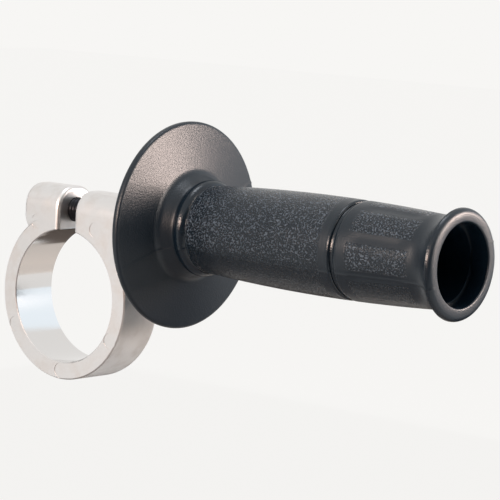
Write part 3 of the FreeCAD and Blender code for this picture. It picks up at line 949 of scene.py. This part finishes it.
@dataclass
class Bolt:
    """The hexagon bolt with its real thread. Places count from under the head, in millimetres."""

    finish: PlatedSteel = PlatedSteel("black_oxide_steel", "#2B2B2E", 0.34)
    around: int = 72
    radius: float = 4.0
    length: float = 60.0
    tip_bevel: float = 0.9
    across_flats: float = 12.96
    head_height: float = 5.3
    head_bevel: Point = (0.9, 1.2)
    pitch: float = 1.25
    thread_depth: float = 0.68
    thread_length: float = 22.0
    thread_flat: float = 0.12
    thread_flank: float = 0.76
    run_out: float = 2.5
    whole_turns: float = 100.0
    rings_per_pitch: int = 10

    def build(self) -> bpy.types.Object:
        """Builds the bolt with its thread cut.

        Returns:
            The bolt.
        """
        low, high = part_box("clamp_bolt")
        middle = (low + high) / 2
        origin = (high.x - self.head_height * MM, middle.y, middle.z)
        ring_step = self.pitch / self.rings_per_pitch
        shank = Profile((-self.length, self.radius - self.tip_bevel))
        shank.line((-self.length + self.tip_bevel, self.radius), ring_step)
        shank.line((-self.length + self.thread_length + self.run_out, self.radius), ring_step)
        shank.line((-HAIR, self.radius), step=6.0)
        rings = [self.turned(origin, place, radius) for place, radius in shank.points]
        corner = self.across_flats / 2 / math.cos(math.pi / 6)
        for place, limit in (
            (0.0, corner),
            (self.head_height - self.head_bevel[0], corner),
            (self.head_height, corner - self.head_bevel[1]),
        ):
            rings.append(self.turned(origin, place, limit, self.across_flats))
        mesh = ring_mesh("bolt", [list(reversed(ring)) for ring in reversed(rings)], closed=False)
        material = self.finish.material()
        piece = add_piece("bolt", mesh, material)
        sizes = {
            "Pitch": self.pitch * MM,
            "Depth": self.thread_depth * MM,
            "Axis height": middle.z,
            "Thread end": origin[0] - (self.length - self.thread_length) * MM,
            "Run out": self.run_out * MM,
        }
        bake_nodes(piece, self.thread_tree(material, tuple(sizes)), sizes)
        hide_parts("clamp_bolt")
        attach(piece, Body.GRIP.value)
        return piece

    def turned(self, origin: Place, place: float, radius: float, flats: float = 0.0) -> list[Vector]:
        """One ring of points round the bolt's axis.

        Args:
            origin: The middle of the head's underside, in metres.
            place: Place along the bolt, in millimetres.
            radius: Its radius, in millimetres.
            flats: Width across the flats where the ring follows the hexagon.

        Returns:
            The ring's points, in metres.
        """
        ring = []
        for step in range(self.around):
            turn = math.tau * step / self.around
            reach = min(radius, hexagon_reach(turn, flats)) if flats else radius
            ring.append(axis_point(origin, place, reach, turn))
        return ring

    def thread_tree(self, material: Material, names: tuple[str, ...]) -> Tree:
        """The tree that cuts a right-hand thread into the shank, fading out at its end.

        Args:
            material: The bolt's finish.
            names: The names of its inputs.

        Returns:
            The geometry tree.
        """
        tree, start = new_geometry_tree("bolt_thread", names)
        place = add_node(tree, "GeometryNodeInputPosition").outputs["Position"]
        parts = add_node(tree, "ShaderNodeSeparateXYZ", inputs={"Vector": place}).outputs
        known = {name: start.outputs[name] for name in names} | {axis: parts[axis] for axis in "XYZ"}
        # A right-hand helix moves along the axis by one pitch for each turn the right-hand way. Whole turns
        # are added so that the count stays above zero. Each row names its result and what it is worked out
        # from: numbers, inputs or results above it.
        for name, operation, first, second in (
            ("height", "SUBTRACT", "Z", "Axis height"),
            ("angle", "ARCTAN2", "height", "Y"),
            ("turn", "DIVIDE", "angle", math.tau),
            ("along", "DIVIDE", "X", "Pitch"),
            ("ahead", "SUBTRACT", "along", "turn"),
            ("count", "ADD", "ahead", self.whole_turns),
            ("phase", "FRACT", "count", 0.0),
            ("double", "MULTIPLY", "phase", 2.0),
            ("centred", "SUBTRACT", "double", 1.0),
            ("flank", "ABSOLUTE", "centred", 0.0),
            ("below crest", "SUBTRACT", "flank", self.thread_flat),
            ("cut", "MAXIMUM", "below crest", 0.0),
            ("groove", "MINIMUM", "cut", self.thread_flank),
            ("left", "SUBTRACT", "Thread end", "X"),
            ("pitches left", "DIVIDE", "left", "Run out"),
            ("fade", "ADD", "pitches left", 1.0),
            ("not below", "MAXIMUM", "fade", 0.0),
            ("faded", "MINIMUM", "not below", 1.0),
            ("shape", "MULTIPLY", "groove", "faded"),
            ("depth", "MULTIPLY", "shape", "Depth"),
            ("inward", "MULTIPLY", "depth", -1.0),
        ):
            inputs = {0: known.get(first, first), 1: known.get(second, second)}
            known[name] = add_node(tree, "ShaderNodeMath", {"operation": operation}, inputs).outputs["Value"]
        radial = add_node(tree, "ShaderNodeCombineXYZ", inputs={"Y": known["Y"], "Z": known["height"]})
        outward = add_node(
            tree, "ShaderNodeVectorMath", {"operation": "NORMALIZE"}, {0: radial.outputs["Vector"]}
        ).outputs["Vector"]
        inward = add_node(
            tree, "ShaderNodeVectorMath", {"operation": "SCALE"}, {0: outward, "Scale": known["inward"]}
        ).outputs["Vector"]
        cut = add_node(
            tree, "GeometryNodeSetPosition", inputs={"Geometry": start.outputs["Geometry"], "Offset": inward}
        )
        finish_geometry_tree(tree, cut.outputs["Geometry"], material)
        return tree


def facing(direction: Vector) -> Matrix:
    """The turn that makes an object's own -Z look along a direction."""
    return direction.to_track_quat("-Z", "Y").to_matrix().to_4x4()


@dataclass
class Lamp:
    """One soft studio light, aimed at the object. Lengths are in metres."""

    name: str
    towards: Place
    distance: float
    size: Point
    glow: float
    colour: str = "#FFFFFF"
    aim: Place = (0.06, 0.0, 0.015)

    def place(self) -> None:
        """Puts the light in the scene. Its glow counts in whites, so its power follows from its size."""
        light = bpy.data.lights.new(self.name, "AREA")
        light.shape = "RECTANGLE"
        light.size, light.size_y = self.size
        light.energy = self.glow * math.pi * self.size[0] * self.size[1]
        light.color = linear(self.colour)[:3]
        lamp = bpy.data.objects.new(self.name, light)
        direction = Vector(self.towards).normalized()
        spot = Vector(self.aim) + direction * self.distance
        lamp.matrix_world = Matrix.Translation(spot) @ facing(-direction)
        lamp.visible_camera = False
        bpy.context.scene.collection.objects.link(lamp)


@dataclass
class Card:
    """A grey card by the set, with which photographers keep black plastic black. Lengths are in metres."""

    name: str
    centre: Place
    towards: Place
    size: Point
    colour: str

    def place(self) -> None:
        """Puts the card in the scene, out of the camera's sight."""
        across, up = self.size[0] / 2, self.size[1] / 2
        mesh = bpy.data.meshes.new(self.name)
        corners = [(-across, -up, 0.0), (across, -up, 0.0), (across, up, 0.0), (-across, up, 0.0)]
        mesh.from_pydata(corners, [], [(0, 1, 2, 3)])
        mesh.transform(Matrix.Translation(self.centre) @ facing(-Vector(self.towards)))
        material, tree, output = new_material(f"{self.name}_paper")
        paper = add_node(tree, "ShaderNodeBsdfDiffuse", inputs={"Color": linear(self.colour)})
        tree.links.new(paper.outputs["BSDF"], output.inputs["Surface"])
        mesh.materials.append(material)
        card = bpy.data.objects.new(self.name, mesh)
        card.visible_camera = False
        bpy.context.scene.collection.objects.link(card)


@dataclass
class Studio:
    """Pale floor, even surroundings, soft lights and the camera of the photograph."""

    backdrop: str = "#F7F6F4"
    paper: str = "#FFFFFF"
    paper_glow: float = 0.97
    surround: float = 0.55
    floor_height: float = -0.12
    floor_size: float = 6.0
    azimuth: float = 40.061
    elevation: float = 6.888
    roll: float = 2.792
    lens: float = 188.77
    sensor: float = 36.0
    clip: Span = (0.01, 20.0)
    camera_place: Place = (0.58460, -0.61102, 0.11909)
    lamps: tuple[Lamp, ...] = (
        Lamp("overhead", (0.05, 0.05, 1.0), 0.8, (0.3, 0.3), 6.0, "#F0F6FF"),
        Lamp("warm_front", (-0.3, -0.93, 0.3), 0.8, (0.12, 0.28), 12.0, "#FFF0E8"),
        Lamp("warm_side", (0.087, -0.996, 0.268), 0.7, (0.34, 0.12), 32.0, "#FFE2D2"),
        Lamp("left_strip", (-0.98, -0.09, 0.06), 0.9, (0.09, 0.5), 2.0, "#F0F6FF"),
        Lamp("back_strip", (0.76, 0.64, 0.1), 0.36, (0.12, 0.1), 38.0, "#FFE9DE", (0.069, -0.019, 0.055)),
        Lamp("right_window", (0.95, 0.22, 0.3), 0.6, (0.2, 0.22), 10.0, "#FFF3EA"),
        Lamp("back_window", (0.0, 1.0, 0.0), 0.7, (0.75, 0.72), 0.34, "#A6DCFF", (0.575, 0.0, 0.27)),
    )
    cards: tuple[Card, ...] = (
        Card("dark_low", (0.145, 0.1, -0.06), (0.0, -1.0, 0.0), (0.11, 0.13), "#363636"),
        Card("dark_side", (0.85, -0.6, 0.22), (-1.0, 0.0, 0.0), (1.2, 0.67), "#7A7A7A"),
        Card("dark_front", (0.42, -1.1, 0.12), (0.0, 1.0, 0.0), (0.9, 0.47), "#7A7A7A"),
        Card("dark_floor", (0.46, -0.62, -0.117), (0.0, 0.0, 1.0), (0.84, 0.94), "#7A7A7A"),
        Card("dark_left", (-0.85, 0.27, 0.14), (1.0, 0.0, 0.0), (0.42, 0.5), "#7A7A7A"),
        Card("dark_neck", (-0.75, -0.39, 0.14), (0.9, 0.44, 0.0), (0.3, 0.5), "#7A7A7A"),
        Card("dark_under", (0.05, -0.03, -0.115), (0.0, 0.0, 1.0), (0.3, 0.24), "#949494"),
        Card("dark_back", (-0.22, 0.28, -0.115), (0.0, 0.0, 1.0), (0.38, 0.3), "#595450"),
        Card("brown_back", (0.06, 0.19, -0.116), (0.0, 0.0, 1.0), (0.2, 0.16), "#BFBFBC"),
    )

    def build(self) -> None:
        """Builds the floor, the surroundings, the lights and the camera."""
        scene = bpy.context.scene
        scene.view_settings.view_transform = "Standard"
        self.build_world(scene)
        self.build_floor(scene)
        for thing in (*self.lamps, *self.cards):
            thing.place()
        self.build_camera(scene)

    def seen_plainly(self, tree: Tree) -> Socket:
        """One where the camera, a reflection or a see-through surface looks, and zero for other light.

        Args:
            tree: The tree of a floor or a world.

        Returns:
            The socket with that value.
        """
        path = add_node(tree, "ShaderNodeLightPath").outputs
        seen = path["Is Camera Ray"]
        for other in ("Is Glossy Ray", "Is Transmission Ray"):
            inputs = {0: seen, 1: path[other]}
            seen = add_node(tree, "ShaderNodeMath", {"operation": "MAXIMUM"}, inputs).outputs["Value"]
        return seen

    def build_world(self, scene: bpy.types.Scene) -> None:
        """Makes the surroundings: pale where they are seen, and plain soft light elsewhere.

        Args:
            scene: The scene that they are in.
        """
        world = bpy.data.worlds.new("surroundings")
        scene.world = world
        world.use_nodes = True
        tree = world.node_tree
        tree.nodes.clear()
        strength = add_node(
            tree,
            "ShaderNodeMapRange",
            inputs={"Value": self.seen_plainly(tree), "To Min": self.surround, "To Max": 1.0},
        ).outputs["Result"]
        glow = add_node(
            tree, "ShaderNodeBackground", inputs={"Color": linear(self.backdrop), "Strength": strength}
        )
        add_node(tree, "ShaderNodeOutputWorld", inputs={"Surface": glow.outputs["Background"]})

    def build_floor(self, scene: bpy.types.Scene) -> None:
        """Makes the floor, well below the object, which is shown hanging free.

        Args:
            scene: The scene that it is in.
        """
        half = self.floor_size / 2
        corners = [(-half, -half), (half, -half), (half, half), (-half, half)]
        mesh = bpy.data.meshes.new("floor")
        mesh.from_pydata([(x, y, self.floor_height) for x, y in corners], [], [(0, 1, 2, 3)])
        material, tree, output = new_material("pale_paper")
        paper = add_node(tree, "ShaderNodeBsdfDiffuse", inputs={"Color": linear(self.paper)})
        glow = add_node(tree, "ShaderNodeEmission", inputs={"Color": linear(self.backdrop), "Strength": 1.0})
        inputs = {0: self.seen_plainly(tree), 1: self.paper_glow}
        share = add_node(tree, "ShaderNodeMath", {"operation": "MULTIPLY"}, inputs).outputs["Value"]
        inputs = {0: share, 1: paper.outputs["BSDF"], 2: glow.outputs["Emission"]}
        both = add_node(tree, "ShaderNodeMixShader", inputs=inputs)
        tree.links.new(both.outputs["Shader"], output.inputs["Surface"])
        floor = bpy.data.objects.new("floor", mesh)
        mesh.materials.append(material)
        scene.collection.objects.link(floor)

    def build_camera(self, scene: bpy.types.Scene) -> None:
        """Makes the camera at the photograph's place and angle.

        Args:
            scene: The scene that it looks at.
        """
        turn, tilt, roll = (math.radians(angle) for angle in (self.azimuth, self.elevation, self.roll))
        back = Vector((math.sin(turn) * math.cos(tilt), -math.cos(turn) * math.cos(tilt), math.sin(tilt)))
        level = Vector((math.cos(turn), math.sin(turn), 0.0))
        upright = back.cross(level)
        right = level * math.cos(roll) + upright * math.sin(roll)
        up = upright * math.cos(roll) - level * math.sin(roll)
        camera = bpy.data.cameras.new("camera")
        camera.lens = self.lens
        camera.sensor_width = self.sensor
        camera.clip_start, camera.clip_end = self.clip
        holder = bpy.data.objects.new("camera", camera)
        aimed = Matrix((right, up, back)).transposed().to_4x4()
        holder.matrix_world = Matrix.Translation(self.camera_place) @ aimed
        scene.collection.objects.link(holder)
        scene.camera = holder


def main() -> None:
    """Builds the pieces in order, reports each of them, and builds the studio."""
    logging.basicConfig(level=logging.INFO, format="%(name)s %(message)s")
    for piece in (*ClampRing().dress(), Grip().build(), Bolt().build()):
        report(piece)
    Studio().build()


if __name__ == "__main__":
    main()
